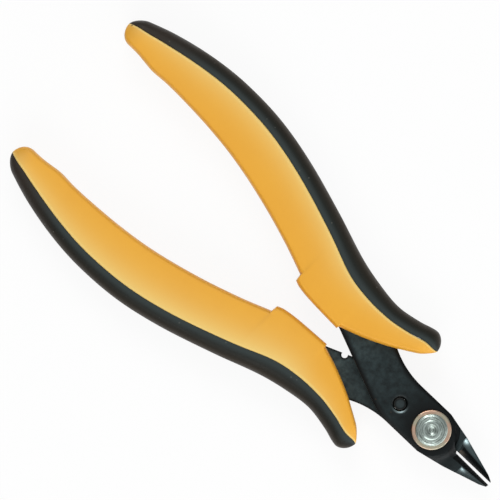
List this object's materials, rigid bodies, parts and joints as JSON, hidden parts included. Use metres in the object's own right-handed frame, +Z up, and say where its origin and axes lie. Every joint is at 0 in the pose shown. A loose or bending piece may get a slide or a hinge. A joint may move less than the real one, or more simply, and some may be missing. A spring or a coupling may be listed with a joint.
{
  "type": "flush cutter",
  "caption": "Hand-held flush cutter for fine copper wire: lapped stamped blades on a rivet, with a return spring and long curved grips moulded in a hard and a soft plastic.",
  "frame": {"origin": "centre of the bounding box at the surface that the grips rest on", "axes": "+X from the grips to the jaws, +Y to the grip that is above in the picture, +Z up out of the face with the rivet's turned head"},
  "size_m": [0.14, 0.0602, 0.011],
  "materials": {
    "blade_oxide": "blackened steel, satin",
    "rivet_steel": "turned",
    "washer_copper": "plain, coppery",
    "spring_steel": "drawn wire",
    "handle_yellow": "moulded, satin",
    "grip_black": "moulded, soft"
  },
  "bodies": {
    "front_half": {"front_blade": "blade_oxide", "pivot_rivet": "rivet_steel", "pivot_washer": "washer_copper", "rear_washer": "washer_copper", "stop_pin": "blade_oxide", "return_spring": "spring_steel", "upper_handle": "handle_yellow", "upper_soft_grip": "grip_black"},
    "rear_half": {"rear_blade": "blade_oxide", "lower_handle": "handle_yellow", "lower_soft_grip": "grip_black"}
  },
  "joints": [
    {"name": "jaw_pivot", "type": "hinge", "parent": "front_half", "child": "rear_half", "pos_m": [0.0506, 0.0002, 0.0055], "axis": [0, 0, -1], "range_deg": [-3, 2], "stiffness_Nm_per_rad": 4, "deforming": ["return_spring"]}
  ]
}
